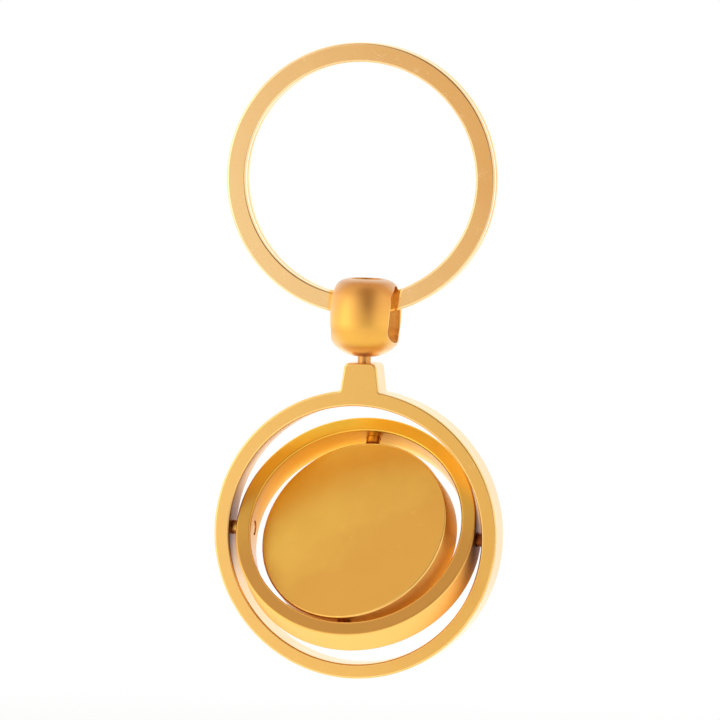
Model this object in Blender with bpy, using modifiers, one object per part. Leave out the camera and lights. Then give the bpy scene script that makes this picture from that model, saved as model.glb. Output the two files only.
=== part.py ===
"""Spinning keyring: a split ring carries a bead on a swivel, and below it a disc turns in two nested rings.

Metres, +Z up, front towards -Y. The origin is the inner edge of the split ring at its top,
where the ring hangs on a hook or a finger. The pieces stand as the object hangs.
"""
import bmesh
import bpy
from math import asin, copysign, cos, pi, radians, sin, sqrt
from mathutils import Matrix, Vector

# Clearances
FIT_GAP = 0.0003
CUT_OVERRUN = 0.002
MERGE_DISTANCE = 0.000001
SHADE_SMOOTH_BELOW = radians(35)

# Split ring: one flat wire of two turns, which steps from the front turn to the back turn inside the bead.
# The front turn's cut end shows at the right-hand mouth of the bead's slot.
RING_OUTER_RADIUS = 0.0150
RING_BAND_WIDTH = 0.00215
WIRE_THICKNESS = 0.00110
TURN_GAP = 0.00045
WIRE_EDGE_ROUND = 0.00028
WIRE_STEP_SPAN = radians(22)
WIRE_END_SPAN = radians(1.5)
WIRE_END_OUTSIDE_BEAD = -0.00045
WIRE_POINTS_PER_TURN = 60
WIRE_CORNER_STEPS = 2

# Bead: a barrel with flat ends, a slot for the split ring and a bore down to the swivel's seat.
# Its waist is its widest height, a little below the split ring.
BEAD_RADIUS = 0.00433
BEAD_SHOULDER_RADIUS = 0.0034
BEAD_BRIDGE = 0.00068
BEAD_FLOOR = 0.0017
BEAD_CROWN_CUT = 0.00031
BEAD_BASE_CUT = 0.00005
BEAD_CROWN_FULLNESS = 2.7
BEAD_BASE_FULLNESS = 2.2
BEAD_PROFILE_STEPS = 9
BEAD_SIDES = 64
BEAD_SLOT_BELOW_WAIST = 0.00225
BEAD_SLOT_FULLNESS = 3.4
BEAD_SLOT_STEPS = 36
BEAD_SEAT_BELOW_SLOT = 0.00010
BEAD_TURN = radians(-4)
RING_SIDE_PLAY = 0.001025
RING_PLAY = 0.00055
WAIST_BELOW_RING = 0.00066
FLIP_AXIS_IN_BAND = 0.00135

# Swivel rivet: its head turns on the seat in the bead and its shank is fixed in the lug
RIVET_SHANK_RADIUS = 0.00075
RIVET_HEAD_RADIUS = 0.0015
RIVET_HEAD_HEIGHT = 0.0008
RIVET_HEAD_ROUND = 0.0003
RIVET_HEAD_PLAY = 0.00032
RIVET_SOCKET_DEPTH = 0.0023
RIVET_SIDES = 32
NECK_LENGTH = 0.00066

# Outer ring with its lug. Its hole sits a little lower than its outer edge.
OUTER_RING_RADIUS = 0.01593
OUTER_RING_WALL = 0.00168
OUTER_HOLE_DROP = 0.00006
RING_DEPTH = 0.0040
EDGE_ROUND = 0.00022
RING_SIDES = 96
CORNER_STEPS = 2
LUG_RISE = 0.00299
LUG_TOP_WIDTH = 0.00355
LUG_BASE_WIDTH = 0.0044
LUG_CORNER_ROUND = 0.0006
LUG_CORNER_STEPS = 4
GIMBAL_TURN = radians(-2.2)

# Inner ring, which tips about the two outer pins
INNER_RING_GAP = 0.00078
INNER_RING_WALL = 0.00166
INNER_RING_TILT = radians(-31.2)

# Disc, which turns about the two inner pins. It sits a little low in its ring,
# and its middle plane lies a little behind the pins.
DISC_GAP = 0.00099
DISC_THICKNESS = 0.00385
DISC_TURN = radians(-10.3)
DISC_SET_DOWN = 0.0003
DISC_SET_BACK = 0.00045
DISC_SOCKET_DEPTH = 0.0020

# Pivot pins
PIN_RADIUS = 0.00078
PIN_END_CHAMFER = 0.00012
PIN_SIDES = 24
PIN_SOCKET_DEPTH = 0.0010
PIN_RECESS = 0.0001

# The swivel's axis passes to the right of the split ring's centre
SWIVEL_OFFSET = 0.00088

# Sizes that follow from these, in the XZ plane from the split ring's centre
RING_INNER_RADIUS = RING_OUTER_RADIUS - RING_BAND_WIDTH
RING_MIDDLE_RADIUS = (RING_OUTER_RADIUS + RING_INNER_RADIUS) / 2
RING_CENTRE_Z = -RING_INNER_RADIUS
WAIST_BELOW_RING_CENTRE = RING_OUTER_RADIUS + WAIST_BELOW_RING
WAIST_Z = RING_CENTRE_Z - WAIST_BELOW_RING_CENTRE
FLIP_AXIS_Z = RING_CENTRE_Z - RING_OUTER_RADIUS + FLIP_AXIS_IN_BAND
RING_EDGE_AT_SHOULDER = sqrt(RING_INNER_RADIUS ** 2 - (SWIVEL_OFFSET + BEAD_SHOULDER_RADIUS) ** 2)

# The bead's slot and ends, from its waist
BEAD_SLOT_HALF_WIDTH = WIRE_THICKNESS + TURN_GAP / 2 + RING_SIDE_PLAY
BEAD_SLOT_TOP = WAIST_BELOW_RING_CENTRE - RING_EDGE_AT_SHOULDER + RING_PLAY
BEAD_ABOVE_WAIST = BEAD_SLOT_TOP + BEAD_BRIDGE
BEAD_BELOW_WAIST = BEAD_SLOT_BELOW_WAIST + BEAD_FLOOR
BEAD_SEAT_BELOW_WAIST = BEAD_SLOT_BELOW_WAIST + BEAD_SEAT_BELOW_SLOT
BEAD_BORE_RADIUS = RIVET_HEAD_RADIUS + RIVET_HEAD_PLAY
BEAD_BOTTOM_Z = WAIST_Z - BEAD_BELOW_WAIST

# The gimbal's rings, from the outside in
LUG_TOP_Z = BEAD_BOTTOM_Z - NECK_LENGTH
GIMBAL_CENTRE_Z = LUG_TOP_Z - LUG_RISE - OUTER_RING_RADIUS
OUTER_RING_INNER_RADIUS = OUTER_RING_RADIUS - OUTER_RING_WALL
INNER_RING_RADIUS = OUTER_RING_INNER_RADIUS - INNER_RING_GAP
INNER_RING_INNER_RADIUS = INNER_RING_RADIUS - INNER_RING_WALL
DISC_RADIUS = INNER_RING_INNER_RADIUS - DISC_GAP
PIN_HOLE_RADIUS = PIN_RADIUS + FIT_GAP

GOLD_SATIN = (0.86, 0.60, 0.24)
GOLD_POLISHED = (0.88, 0.64, 0.34)
GOLD_DARK = (0.70, 0.44, 0.16)


def collection(name):
    """A new collection in the scene."""
    group = bpy.data.collections.new(name)
    bpy.context.scene.collection.children.link(group)
    return group


def gold(name, colour, roughness):
    """A gold plated finish for one piece."""
    material = bpy.data.materials.new(name)
    material.use_nodes = True
    shader = material.node_tree.nodes["Principled BSDF"]
    shader.inputs["Base Color"].default_value = (*colour, 1)
    shader.inputs["Roughness"].default_value = roughness
    shader.inputs["Metallic"].default_value = 1
    return material


def arc(centre, radius, start, end, steps):
    """Points on an arc in the plane, from one angle to another."""
    angles = [start + (end - start) * i / steps for i in range(steps + 1)]
    return [(centre[0] + radius * cos(a), centre[1] + radius * sin(a)) for a in angles]


def rounded_rectangle(x0, x1, y0, y1, corner, steps):
    """A rectangle with round corners, clockwise from the top of its right-hand side."""
    points = arc((x1 - corner, y1 - corner), corner, pi / 2, 0, steps)
    points += arc((x1 - corner, y0 + corner), corner, 0, -pi / 2, steps)
    points += arc((x0 + corner, y0 + corner), corner, -pi / 2, -pi, steps)
    points += arc((x0 + corner, y1 - corner), corner, pi, pi / 2, steps)
    return points


def link(name, data, group, parent=None):
    """An object for a mesh or a curve, in its collection and under its parent."""
    piece = bpy.data.objects.new(name, data)
    group.objects.link(piece)
    piece.parent = parent
    return piece


def turned(name, profile, axis, sides, group, parent=None, closed=False):
    """A solid of revolution: a profile of radius and height, turned about an axis by a Screw modifier."""
    mesh = bpy.data.meshes.new(name)
    place = {"X": lambda r, h: (h, 0, r), "Y": lambda r, h: (r, h, 0), "Z": lambda r, h: (r, 0, h)}[axis]
    edges = [(i, i + 1) for i in range(len(profile) - 1)]
    if closed:
        edges.append((len(profile) - 1, 0))
    mesh.from_pydata([place(r, h) for r, h in profile], edges, [])
    piece = link(name, mesh, group, parent)
    screw = piece.modifiers.new("Turn", "SCREW")
    screw.axis = axis
    screw.steps = sides
    screw.render_steps = sides
    screw.use_merge_vertices = True
    screw.merge_threshold = MERGE_DISTANCE
    screw.use_smooth_shade = True
    return piece


def plate(name, outlines, half_thickness, group, parent=None):
    """A flat piece cut from one or more closed outlines, as a welded mesh in its own XY plane."""
    curve = bpy.data.curves.new(name, "CURVE")
    curve.dimensions = "2D"
    curve.fill_mode = "BOTH"
    curve.extrude = half_thickness
    for outline in outlines:
        spline = curve.splines.new("POLY")
        spline.points.add(len(outline) - 1)
        for point, (x, y) in zip(spline.points, outline):
            point.co = (x, y, 0, 1)
        spline.use_cyclic_u = True
    return welded(link(name, curve, group, parent), group)


def welded(source, group):
    """The mesh of a curve object with its caps joined to its sides, in the curve's place."""
    bpy.context.view_layer.update()
    mesh = bpy.data.meshes.new_from_object(source.evaluated_get(bpy.context.evaluated_depsgraph_get()))
    shell = bmesh.new()
    shell.from_mesh(mesh)
    bmesh.ops.remove_doubles(shell, verts=shell.verts, dist=MERGE_DISTANCE)
    bmesh.ops.recalc_face_normals(shell, faces=shell.faces)
    shell.to_mesh(mesh)
    shell.free()
    name, place, parent = source.name, source.matrix_world.copy(), source.parent
    bpy.data.objects.remove(source)
    piece = link(name, mesh, group, parent)
    piece.matrix_world = place
    return piece


def cylinder_cutter(name, radius, start, end, sides, group, parent):
    """A round cutter between two points of its parent's frame."""
    start, end = Vector(start), Vector(end)
    mesh = bpy.data.meshes.new(name)
    shell = bmesh.new()
    bmesh.ops.create_cone(shell, cap_ends=True, segments=sides, radius1=radius, radius2=radius,
                          depth=(end - start).length)
    shell.to_mesh(mesh)
    shell.free()
    cutter = link(name, mesh, group, parent)
    cutter.location = (start + end) / 2
    cutter.rotation_euler = (end - start).to_track_quat("Z", "Y").to_euler()
    return as_cutter(cutter)


def as_cutter(cutter):
    """Marks an object as a cutter, shown as wires and never rendered."""
    cutter.hide_render = True
    cutter.display_type = "WIRE"
    return cutter


def cut(piece, cutters):
    """Cuts the piece by each cutter in turn."""
    for cutter in cutters:
        step = piece.modifiers.new(cutter.name, "BOOLEAN")
        step.operation = "DIFFERENCE"
        step.solver = "EXACT"
        step.object = cutter


def settle(piece, material):
    """Makes the modifiers' result the piece's own mesh, shaded smooth up to its sharp edges."""
    bpy.context.view_layer.update()
    mesh = bpy.data.meshes.new_from_object(piece.evaluated_get(bpy.context.evaluated_depsgraph_get()))
    piece.modifiers.clear()
    piece.data = mesh
    mesh.materials.clear()
    mesh.materials.append(material)
    mesh.shade_smooth()
    mesh.set_sharp_from_angle(angle=SHADE_SMOOTH_BELOW)
    return piece


def frame(name, group, location, rotation, parent=None):
    """An empty on a joint's axis, which carries the pieces that move together."""
    empty = link(name, None, group, parent)
    empty.empty_display_size = BEAD_RADIUS
    empty.matrix_basis = Matrix.Translation(location) @ rotation
    return empty


def wire_path():
    """The split ring's middle line: two turns about Z, one above the other, joined by a smooth step."""
    layer = (WIRE_THICKNESS + TURN_GAP) / 2
    start = WIRE_STEP_SPAN / 2 + WIRE_END_SPAN
    end = 4 * pi - start
    count = 2 * WIRE_POINTS_PER_TURN
    points = []
    for i in range(count + 1):
        angle = start + (end - start) * i / count
        along = (angle - 2 * pi) / WIRE_STEP_SPAN + 0.5
        share = min(max(along, 0), 1)
        height = layer * (1 - 2 * share * share * (3 - 2 * share))
        points.append((RING_MIDDLE_RADIUS * cos(angle), RING_MIDDLE_RADIUS * sin(angle), height))
    return points


def least_turn_gap(path):
    """The least clear distance between the wire's two turns, measured between its points."""
    half = len(path) // 2
    near = half // 2
    gaps = []
    for i, here in enumerate(path):
        for there in path[i + near:]:
            gaps.append((Vector(here) - Vector(there)).length - WIRE_THICKNESS)
    return min(gaps)


def build_split_ring(parts):
    """The flat wire swept along its two turns, standing in the XZ plane with the step inside the bead."""
    section = bpy.data.curves.new("wire_section", "CURVE")
    section.dimensions = "2D"
    half_width, half_height = RING_BAND_WIDTH / 2, WIRE_THICKNESS / 2
    outline = rounded_rectangle(-half_width, half_width, -half_height, half_height,
                                WIRE_EDGE_ROUND, WIRE_CORNER_STEPS)
    spline = section.splines.new("POLY")
    spline.points.add(len(outline) - 1)
    for point, (x, y) in zip(spline.points, outline):
        point.co = (x, y, 0, 1)
    spline.use_cyclic_u = True
    guide = as_cutter(link("wire_section", section, parts))

    path = wire_path()
    print("split ring, least gap between the turns: %.3f mm" % (least_turn_gap(path) * 1000))
    wire = bpy.data.curves.new("split_ring", "CURVE")
    wire.dimensions = "3D"
    wire.twist_mode = "Z_UP"
    wire.bevel_mode = "OBJECT"
    wire.bevel_object = guide
    wire.use_fill_caps = True
    line = wire.splines.new("POLY")
    line.points.add(len(path) - 1)
    for point, (x, y, z) in zip(line.points, path):
        point.co = (x, y, z, 1)
    ring = welded(link("split_ring", wire, parts), parts)
    bpy.data.objects.remove(guide)

    front_end = SWIVEL_OFFSET + BEAD_RADIUS + WIRE_END_OUTSIDE_BEAD
    front_end_angle = asin(front_end / RING_MIDDLE_RADIUS)
    step_angle = front_end_angle - WIRE_STEP_SPAN / 2 - WIRE_END_SPAN - pi / 2
    ring.matrix_basis = (Matrix.Translation((0, 0, RING_CENTRE_Z)) @ Matrix.Rotation(pi / 2, 4, "X")
                         @ Matrix.Rotation(step_angle, 4, "Z"))
    return settle(ring, gold("split_ring", GOLD_POLISHED, 0.22))


def oval_share(share, fullness):
    """How wide a full oval is at a share of its half height, as a share of its half width."""
    return max(1 - abs(share) ** fullness, 0) ** (1 / fullness)


def bead_profile():
    """The bead's side from the top flat to the bottom flat: two full ovals joined at the waist."""
    profile = [(0, BEAD_ABOVE_WAIST)]
    for i in range(BEAD_PROFILE_STEPS + 1):
        height = BEAD_ABOVE_WAIST * cos(pi / 2 * i / BEAD_PROFILE_STEPS)
        profile.append((bead_radius_at(height), height))
    for i in range(1, BEAD_PROFILE_STEPS + 1):
        height = -BEAD_BELOW_WAIST * sin(pi / 2 * i / BEAD_PROFILE_STEPS)
        profile.append((bead_radius_at(height), height))
    profile.append((0, -BEAD_BELOW_WAIST))
    return profile


def bead_radius_at(height):
    """The bead's radius at a height above its waist."""
    if height > 0:
        return BEAD_RADIUS * oval_share(height / (BEAD_ABOVE_WAIST + BEAD_CROWN_CUT), BEAD_CROWN_FULLNESS)
    return BEAD_RADIUS * oval_share(height / (BEAD_BELOW_WAIST + BEAD_BASE_CUT), BEAD_BASE_FULLNESS)


def slot_outline():
    """The slot's mouth: a full oval, as points of height above the waist and distance from the middle."""
    middle = (BEAD_SLOT_TOP - BEAD_SLOT_BELOW_WAIST) / 2
    half_height = (BEAD_SLOT_TOP + BEAD_SLOT_BELOW_WAIST) / 2
    power = 2 / BEAD_SLOT_FULLNESS
    points = []
    for i in range(BEAD_SLOT_STEPS):
        angle = 2 * pi * i / BEAD_SLOT_STEPS
        up = copysign(abs(cos(angle)) ** power, cos(angle))
        across = copysign(abs(sin(angle)) ** power, sin(angle))
        points.append((middle + half_height * up, BEAD_SLOT_HALF_WIDTH * across))
    return points


def build_bead(parts, cutters, bead_frame):
    """The bead: turned, slotted from side to side, bored from the top and drilled for the rivet."""
    bead = turned("swivel_bead", bead_profile(), "Z", BEAD_SIDES, parts, bead_frame)
    seat = -BEAD_SEAT_BELOW_WAIST
    slot = as_cutter(plate("bead_slot", [slot_outline()], BEAD_RADIUS + CUT_OVERRUN, cutters))
    slot.parent = bead_frame
    slot.matrix_basis = Matrix.Rotation(-pi / 2, 4, "Y")
    bore = cylinder_cutter("bead_bore", BEAD_BORE_RADIUS, (0, 0, seat),
                           (0, 0, BEAD_ABOVE_WAIST + CUT_OVERRUN), RIVET_SIDES, cutters, bead_frame)
    shank_hole = cylinder_cutter("bead_shank_hole", RIVET_SHANK_RADIUS + FIT_GAP,
                                 (0, 0, -BEAD_BELOW_WAIST - CUT_OVERRUN), (0, 0, seat + CUT_OVERRUN),
                                 RIVET_SIDES, cutters, bead_frame)
    cut(bead, [slot, bore, shank_hole])
    return settle(bead, gold("swivel_bead", GOLD_SATIN, 0.34))


def build_rivet(parts, swivel_frame):
    """The swivel rivet, from its domed head in the bead to the foot of its shank in the lug."""
    head_under = WAIST_Z - BEAD_SEAT_BELOW_WAIST + FIT_GAP - GIMBAL_CENTRE_Z
    head_top = head_under + RIVET_HEAD_HEIGHT
    foot = LUG_TOP_Z - RIVET_SOCKET_DEPTH + FIT_GAP - GIMBAL_CENTRE_Z
    profile = [(0, head_top)]
    profile += arc((RIVET_HEAD_RADIUS - RIVET_HEAD_ROUND, head_top - RIVET_HEAD_ROUND),
                   RIVET_HEAD_ROUND, pi / 2, 0, CORNER_STEPS)
    profile += [(RIVET_HEAD_RADIUS, head_under), (RIVET_SHANK_RADIUS, head_under)]
    profile += [(RIVET_SHANK_RADIUS, foot), (0, foot)]
    rivet = turned("swivel_rivet", profile, "Z", RIVET_SIDES, parts, swivel_frame)
    return settle(rivet, gold("swivel_rivet", GOLD_DARK, 0.3))


def outer_outline():
    """The outer ring's edge with its lug, anticlockwise from the lug's right foot."""
    half_base, half_top = LUG_BASE_WIDTH / 2, LUG_TOP_WIDTH / 2
    foot_angle = asin(half_base / OUTER_RING_RADIUS)
    top = OUTER_RING_RADIUS + LUG_RISE
    foot_height = OUTER_RING_RADIUS * cos(foot_angle)
    lean = asin((half_base - half_top) / sqrt((half_base - half_top) ** 2 + (top - foot_height) ** 2))
    inset = LUG_CORNER_ROUND * (1 - sin(lean)) / cos(lean)
    corner = (half_top - inset, top - LUG_CORNER_ROUND)
    right = arc(corner, LUG_CORNER_ROUND, lean, pi / 2, LUG_CORNER_STEPS)
    left = [(-x, y) for x, y in reversed(right)]
    around = arc((0, 0), OUTER_RING_RADIUS, pi / 2 + foot_angle, 5 * pi / 2 - foot_angle, RING_SIDES)
    return right + left + around


def soften(piece, width):
    """Rounds the edges between a plate's faces and its walls."""
    bevel = piece.modifiers.new("Edge", "BEVEL")
    bevel.width = width
    bevel.segments = CORNER_STEPS
    bevel.limit_method = "ANGLE"
    bevel.angle_limit = radians(60)


def build_outer_ring(parts, cutters, swivel_frame):
    """The outer ring and its lug, cast in one piece, with two pin sockets and the rivet's socket."""
    hole = arc((0, -OUTER_HOLE_DROP), OUTER_RING_INNER_RADIUS, 2 * pi, 2 * pi / RING_SIDES, RING_SIDES - 1)
    ring = plate("outer_ring", [outer_outline(), hole], RING_DEPTH / 2, parts)
    ring.parent = swivel_frame
    ring.matrix_basis = Matrix.Rotation(pi / 2, 4, "X")
    soften(ring, EDGE_ROUND)
    sockets = []
    for side, sign in (("left", -1), ("right", 1)):
        sockets.append(cylinder_cutter(
            "outer_socket_" + side, PIN_HOLE_RADIUS,
            (sign * (OUTER_RING_INNER_RADIUS - CUT_OVERRUN / 2), 0, 0),
            (sign * (OUTER_RING_INNER_RADIUS + PIN_SOCKET_DEPTH), 0, 0), PIN_SIDES, cutters, swivel_frame))
    lug_top = LUG_TOP_Z - GIMBAL_CENTRE_Z
    sockets.append(cylinder_cutter(
        "rivet_socket", RIVET_SHANK_RADIUS + FIT_GAP, (0, 0, lug_top - RIVET_SOCKET_DEPTH),
        (0, 0, lug_top + CUT_OVERRUN), RIVET_SIDES, cutters, swivel_frame))
    cut(ring, sockets)
    return settle(ring, gold("outer_ring", GOLD_SATIN, 0.34))


def build_outer_pins(parts, swivel_frame):
    """The two pins that are fixed in the outer ring and carry the inner ring."""
    inner_end = INNER_RING_INNER_RADIUS + PIN_RECESS
    outer_end = OUTER_RING_INNER_RADIUS + PIN_SOCKET_DEPTH - FIT_GAP
    for side, sign in (("left", -1), ("right", 1)):
        low, high = sorted((sign * inner_end, sign * outer_end))
        pin = turned("outer_pin_" + side, pin_profile(low, high), "X", PIN_SIDES, parts, swivel_frame)
        settle(pin, gold(pin.name, GOLD_DARK, 0.3))


def pin_profile(low, high):
    """A round pin between two heights, with a small chamfer at each end."""
    small = PIN_RADIUS - PIN_END_CHAMFER
    return [(0, high), (small, high), (PIN_RADIUS, high - PIN_END_CHAMFER),
            (PIN_RADIUS, low + PIN_END_CHAMFER), (small, low), (0, low)]


def build_inner_ring(parts, cutters, tilt_frame):
    """The inner ring, with a through hole for each outer pin and a socket for each inner pin."""
    section = rounded_rectangle(INNER_RING_INNER_RADIUS, INNER_RING_RADIUS, -RING_DEPTH / 2, RING_DEPTH / 2,
                                EDGE_ROUND, CORNER_STEPS)
    ring = turned("inner_ring", section, "Y", RING_SIDES, parts, tilt_frame, closed=True)
    holes = []
    inside = INNER_RING_INNER_RADIUS - CUT_OVERRUN / 2
    for side, sign in (("left", -1), ("right", 1)):
        holes.append(cylinder_cutter(
            "inner_hole_" + side, PIN_HOLE_RADIUS, (sign * inside, 0, 0),
            (sign * (INNER_RING_RADIUS + CUT_OVERRUN / 2), 0, 0), PIN_SIDES, cutters, tilt_frame))
    for side, sign in (("bottom", -1), ("top", 1)):
        holes.append(cylinder_cutter(
            "inner_socket_" + side, PIN_HOLE_RADIUS, (0, 0, sign * inside),
            (0, 0, sign * (INNER_RING_INNER_RADIUS + PIN_SOCKET_DEPTH)), PIN_SIDES, cutters, tilt_frame))
    cut(ring, holes)
    return settle(ring, gold("inner_ring", GOLD_SATIN, 0.34))


def build_disc(parts, cutters, disc_frame):
    """The plain disc, with a socket in its edge for each inner pin."""
    back = DISC_SET_BACK + DISC_THICKNESS / 2
    front = back - DISC_THICKNESS
    rim = DISC_RADIUS - EDGE_ROUND
    profile = [(0, back)]
    profile += arc((rim, back - EDGE_ROUND), EDGE_ROUND, pi / 2, 0, CORNER_STEPS)
    profile += arc((rim, front + EDGE_ROUND), EDGE_ROUND, 0, -pi / 2, CORNER_STEPS)
    profile.append((0, front))
    disc = turned("disc", profile, "Y", RING_SIDES, parts, disc_frame)
    sockets = []
    for side, sign in (("bottom", -1), ("top", 1)):
        sockets.append(cylinder_cutter(
            "disc_socket_" + side, PIN_HOLE_RADIUS, (0, 0, sign * (DISC_RADIUS - DISC_SOCKET_DEPTH)),
            (0, 0, sign * (DISC_RADIUS + CUT_OVERRUN)), PIN_SIDES, cutters, disc_frame))
    cut(disc, sockets)
    return settle(disc, gold("disc", GOLD_SATIN, 0.38))


def build_inner_pins(parts, disc_frame):
    """The two pins that are fixed in the disc's edge and turn in the inner ring's sockets."""
    disc_end = DISC_RADIUS - DISC_SOCKET_DEPTH + FIT_GAP
    ring_end = INNER_RING_INNER_RADIUS + PIN_SOCKET_DEPTH - FIT_GAP
    for side, sign in (("bottom", -1), ("top", 1)):
        reach = ring_end + sign * DISC_SET_DOWN
        low, high = sorted((sign * disc_end, sign * reach))
        pin = turned("inner_pin_" + side, pin_profile(low, high), "Z", PIN_SIDES, parts, disc_frame)
        settle(pin, gold(pin.name, GOLD_DARK, 0.3))


def build():
    """Every piece of the keyring, hung from the split ring's joints."""
    for old in list(bpy.data.objects):
        bpy.data.objects.remove(old)
    parts = collection("spinning_keyring")
    cutters = collection("cutters")
    build_split_ring(parts)

    flip_frame = frame("flip_axis", parts, (SWIVEL_OFFSET, 0, FLIP_AXIS_Z), Matrix.Identity(4))
    bead_frame = frame("bead_waist", parts, (0, 0, WAIST_Z - FLIP_AXIS_Z), Matrix.Rotation(BEAD_TURN, 4, "Z"),
                       flip_frame)
    swivel_frame = frame("swivel_axis", parts, (0, 0, GIMBAL_CENTRE_Z - FLIP_AXIS_Z),
                         Matrix.Rotation(GIMBAL_TURN, 4, "Z"), flip_frame)
    tilt_frame = frame("inner_ring_axis", parts, (0, 0, 0), Matrix.Rotation(INNER_RING_TILT, 4, "X"),
                       swivel_frame)
    disc_frame = frame("disc_axis", parts, (0, 0, -DISC_SET_DOWN), Matrix.Rotation(DISC_TURN, 4, "Z"),
                       tilt_frame)
    build_bead(parts, cutters, bead_frame)
    build_rivet(parts, swivel_frame)
    build_outer_ring(parts, cutters, swivel_frame)
    build_outer_pins(parts, swivel_frame)
    build_inner_ring(parts, cutters, tilt_frame)
    build_disc(parts, cutters, disc_frame)
    build_inner_pins(parts, disc_frame)
    bpy.context.view_layer.update()


build()
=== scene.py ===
from math import asin, cos, pi, radians, sin, sqrt

import bmesh
import bpy
import numpy as np
from mathutils import Matrix, Vector


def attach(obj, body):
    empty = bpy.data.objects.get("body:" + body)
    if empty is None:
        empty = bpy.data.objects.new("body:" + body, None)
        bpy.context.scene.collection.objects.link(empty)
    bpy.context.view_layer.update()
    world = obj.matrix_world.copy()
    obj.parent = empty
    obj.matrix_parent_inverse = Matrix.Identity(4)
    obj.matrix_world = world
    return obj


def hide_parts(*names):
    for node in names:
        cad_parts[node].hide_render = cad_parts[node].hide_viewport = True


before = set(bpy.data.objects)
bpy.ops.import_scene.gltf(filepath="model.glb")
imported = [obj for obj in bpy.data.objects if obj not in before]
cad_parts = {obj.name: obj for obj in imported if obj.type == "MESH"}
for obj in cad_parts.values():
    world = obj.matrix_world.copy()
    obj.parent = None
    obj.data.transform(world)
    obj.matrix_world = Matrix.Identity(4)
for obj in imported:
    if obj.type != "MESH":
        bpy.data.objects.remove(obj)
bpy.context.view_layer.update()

# The keyring's sizes in metres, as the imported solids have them, apart from the shape of the bead's slot,
# the wire's front end, the roundings and how closely the pins and the rivet's neck fit
RING_OUTER_RADIUS = 0.0150
RING_BAND_WIDTH = 0.00215
WIRE_THICKNESS = 0.00110
TURN_GAP = 0.00045
WIRE_STEP_SPAN = radians(22)
WIRE_END_SPAN = radians(1.5)
WIRE_END_OUTSIDE_BEAD = -0.0006
WIRE_END_SLANT = 0.68
WIRE_EDGE_ROUND = 0.00026
WIRE_END_ROUND = 0.00012

BEAD_RADIUS = 0.00433
BEAD_ABOVE_WAIST = 0.004772
BEAD_BELOW_WAIST = 0.00395
BEAD_CROWN_CUT = 0.00031
BEAD_BASE_CUT = 0.00005
BEAD_CROWN_FULLNESS = 2.7
BEAD_BASE_FULLNESS = 2.2
BEAD_SLOT_ROOF = 0.0039
BEAD_SLOT_ROOF_ARCH = 0.0009
BEAD_SLOT_MOUTH_FROM = 0.0040
BEAD_SLOT_MOUTH_LEAN = 2.2
BEAD_SLOT_MOUTH_DROP = 0.15
BEAD_SLOT_TOP = 0.00438
BEAD_SLOT_WIDEST = -0.0006
BEAD_SLOT_BOTTOM = -0.00225
BEAD_SLOT_HALF_WIDTH = 0.00265
BEAD_SLOT_FULLNESS = 2.2
BEAD_SLOT_TOP_FULLNESS = 2.1
BEAD_SEAT = -0.00235
BEAD_BORE_RADIUS = 0.00182
BEAD_TURN = radians(-4)
BEAD_CROWN_ROUND = 0.00055
BEAD_BASE_ROUND = 0.00012
BEAD_SLOT_ROOF_ROUND = 0.0001
BEAD_SLOT_RIM_ROUND = 0.00022
BEAD_BORE_RIM_ROUND = 0.00010
BEAD_NECK_RIM_ROUND = 0.00006
BEAD_CUT_REACH = 0.006

RIVET_SHANK_RADIUS = 0.00075
RIVET_HEAD_RADIUS = 0.0015
RIVET_HEAD_HEIGHT = 0.0008
RIVET_NECK_HOLE_RADIUS = 0.00093
RIVET_FOOT_BELOW_LUG_TOP = 0.0020
RIVET_HEAD_GAP = 0.0003
RIVET_HEAD_ROUND = 0.0003
RIVET_HEAD_ROUND_FROM = radians(72)
RIVET_DOME_SHARE = 0.75
RIVET_DOME_FALL = 0.00002
RIVET_EDGE_BREAK = 0.00005
RIVET_ROOT_BREAK = 0.0001

OUTER_RING_RADIUS = 0.01593
OUTER_RING_INNER_RADIUS = 0.01425
OUTER_HOLE_DROP = 0.00006
RING_DEPTH = 0.0040
EDGE_ROUND = 0.00022
LUG_RISE = 0.00299
LUG_TOP_WIDTH = 0.00355
LUG_BASE_WIDTH = 0.0044
LUG_CORNER_ROUND = 0.0006
LUG_FOOT_ROUND = 0.00030
GIMBAL_TURN = radians(-2.2)

INNER_RING_RADIUS = 0.01347
INNER_RING_INNER_RADIUS = 0.01181
INNER_RING_TILT = radians(-31.2)

DISC_RADIUS = 0.01082
DISC_THICKNESS = 0.00385
DISC_TURN = radians(-10.3)
DISC_SET_DOWN = 0.0003
DISC_SET_BACK = 0.00045
DISC_PIN_DEPTH = 0.0017

PIN_RADIUS = 0.00078
PIN_PLAY = 0.00004
PIN_END_ROUND = 0.00012
PIN_RECESS = 0.0001
PIN_DEPTH = 0.0007
HOLE_OVERRUN = 0.001

SWIVEL_OFFSET = 0.00088
RING_MIDDLE_RADIUS = RING_OUTER_RADIUS - RING_BAND_WIDTH / 2
RING_CENTRE_Z = RING_BAND_WIDTH - RING_OUTER_RADIUS
FLIP_AXIS_Z = -0.0265
WAIST_Z = -0.02851
LUG_TOP_Z = -0.03312
GIMBAL_CENTRE_Z = -0.05204

# How the pieces stand at rest
FLIP = Matrix.Translation((SWIVEL_OFFSET, 0, FLIP_AXIS_Z))
BEAD = FLIP @ Matrix.Translation((0, 0, WAIST_Z - FLIP_AXIS_Z)) @ Matrix.Rotation(BEAD_TURN, 4, "Z")
SWIVEL = FLIP @ Matrix.Translation((0, 0, GIMBAL_CENTRE_Z - FLIP_AXIS_Z)) @ Matrix.Rotation(GIMBAL_TURN, 4, "Z")
TILT = SWIVEL @ Matrix.Rotation(INNER_RING_TILT, 4, "X")
SPIN = TILT @ Matrix.Translation((0, 0, -DISC_SET_DOWN)) @ Matrix.Rotation(DISC_TURN, 4, "Z")

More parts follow.
